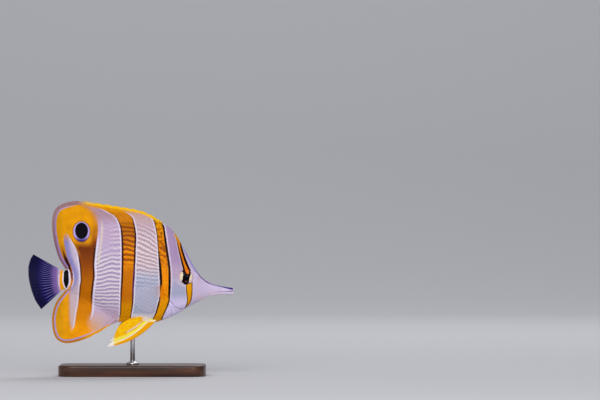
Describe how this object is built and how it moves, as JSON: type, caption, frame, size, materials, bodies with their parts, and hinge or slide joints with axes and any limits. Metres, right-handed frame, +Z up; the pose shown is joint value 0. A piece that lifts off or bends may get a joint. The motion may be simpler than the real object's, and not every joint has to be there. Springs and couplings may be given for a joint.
{
  "type": "copperband butterflyfish display model",
  "caption": "Life-size model of a copperband butterflyfish with upright copper bands, a long snout and an eyespot, held on a rod above a flat wooden base.",
  "frame": {"origin": "centre of the part's box in length and width, on the floor under the stand", "axes": "+X towards the snout, +Y to the fish's left side, +Z up"},
  "size_m": [0.1298, 0.05, 0.1101],
  "materials": {
    "skin": "moist scaled skin, lilac white with copper bands edged in maroon",
    "eye": "wet and glossy, cream iris with a dark bar through it",
    "copper_fin": "scaled fin with golden spines and an orange membrane",
    "tail_fin": "navy membrane with pale violet rays and a clear margin",
    "clear_fin": "clear membrane with pale rays",
    "pelvic_fin": "golden yellow with a white leading ray",
    "stand_wood": "dark stained wood, satin varnish",
    "stand_steel": "satin steel"
  },
  "bodies": {
    "root": {"head": "skin", "lower_jaw": "skin", "gill_cover_right": "skin", "gill_cover_left": "skin", "trunk": "skin", "tail": "skin", "eye_right": "eye", "eye_left": "eye", "dorsal_fin": "copper_fin", "anal_fin": "copper_fin", "tail_fin": "tail_fin", "pectoral_fin_right": "clear_fin", "pectoral_fin_left": "clear_fin", "pelvic_fin_right": "pelvic_fin", "pelvic_fin_left": "pelvic_fin", "stand_base": "stand_wood", "stand_rod": "stand_steel", "stand_collar": "stand_steel"}
  },
  "joints": []
}
